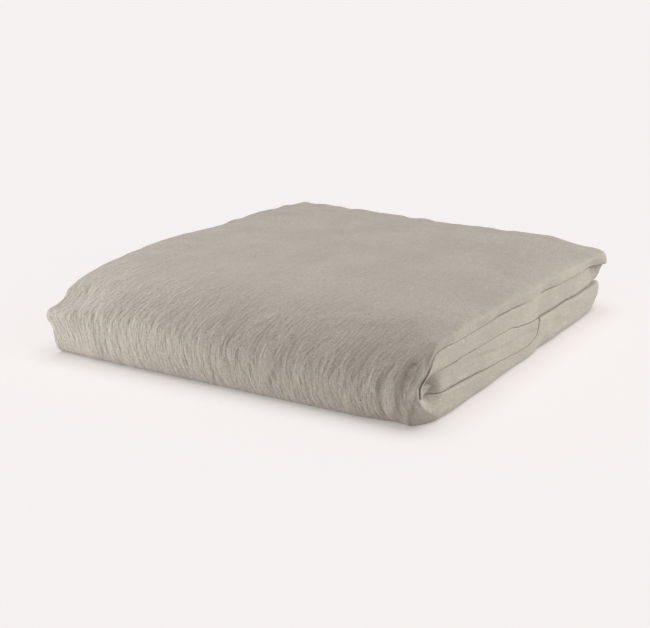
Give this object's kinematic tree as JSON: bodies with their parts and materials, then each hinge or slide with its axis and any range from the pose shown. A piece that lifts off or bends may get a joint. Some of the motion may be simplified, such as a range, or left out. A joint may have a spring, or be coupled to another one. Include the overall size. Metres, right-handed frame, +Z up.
{
  "type": "folded flat sheet",
  "caption": "A plain woven linen flat bed sheet, folded into a soft flat stack with a rounded front fold and rolled side.",
  "frame": {"origin": "centre of the footprint, on the surface that the stack rests on", "axes": "+Z up through the stack, -Y towards the big front fold, +X towards the rolled side"},
  "size_m": [0.3448, 0.3958, 0.0692],
  "materials": {
    "linen": "washed plain-weave linen in a sandy grey, matt, softly creased"
  },
  "bodies": {
    "root": {"sheet": "linen"}
  },
  "joints": []
}
